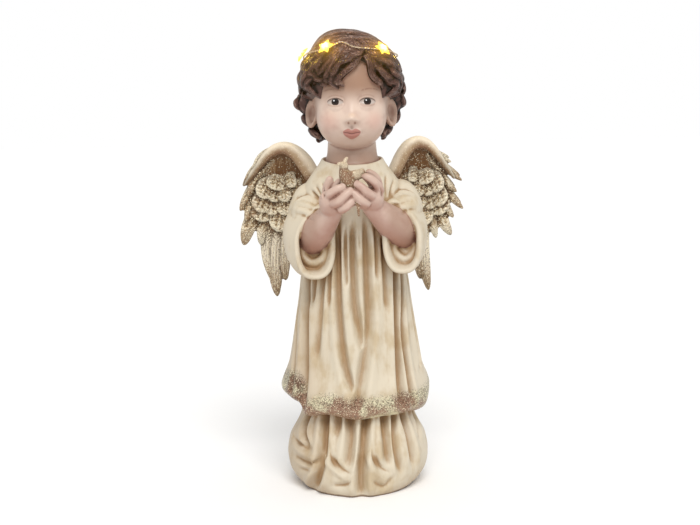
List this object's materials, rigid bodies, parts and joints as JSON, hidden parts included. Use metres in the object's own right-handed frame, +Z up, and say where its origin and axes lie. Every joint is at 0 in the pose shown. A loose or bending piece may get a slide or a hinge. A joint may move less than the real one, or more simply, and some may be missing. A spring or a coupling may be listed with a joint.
{
  "type": "child angel garden ornament",
  "caption": "Standing child angel in a long gown, with folded feathered wings, cupping a small bird, and star lights on a wire round its curly hair.",
  "frame": {"origin": "middle of the flat underside, on the floor", "axes": "+Z up, the figure faces -Y, and +X is to the right of a viewer who stands in front of it"},
  "size_m": [0.2513, 0.1654, 0.4992],
  "materials": {
    "painted_resin": "hand-painted cast resin: cream cloth with a brown wash, skin tones, brown hair, glitter on wings and hem",
    "enamelled_wire": "thin twisted copper wire, lacquered",
    "lit_star": "translucent star cap, lit warm yellow from inside"
  },
  "bodies": {
    "root": {"cast_figure": "painted_resin", "light_wire": "enamelled_wire", "star_light_1": "lit_star", "star_light_2": "lit_star", "star_light_3": "lit_star", "star_light_4": "lit_star", "star_light_5": "lit_star", "star_light_6": "lit_star"}
  },
  "joints": []
}
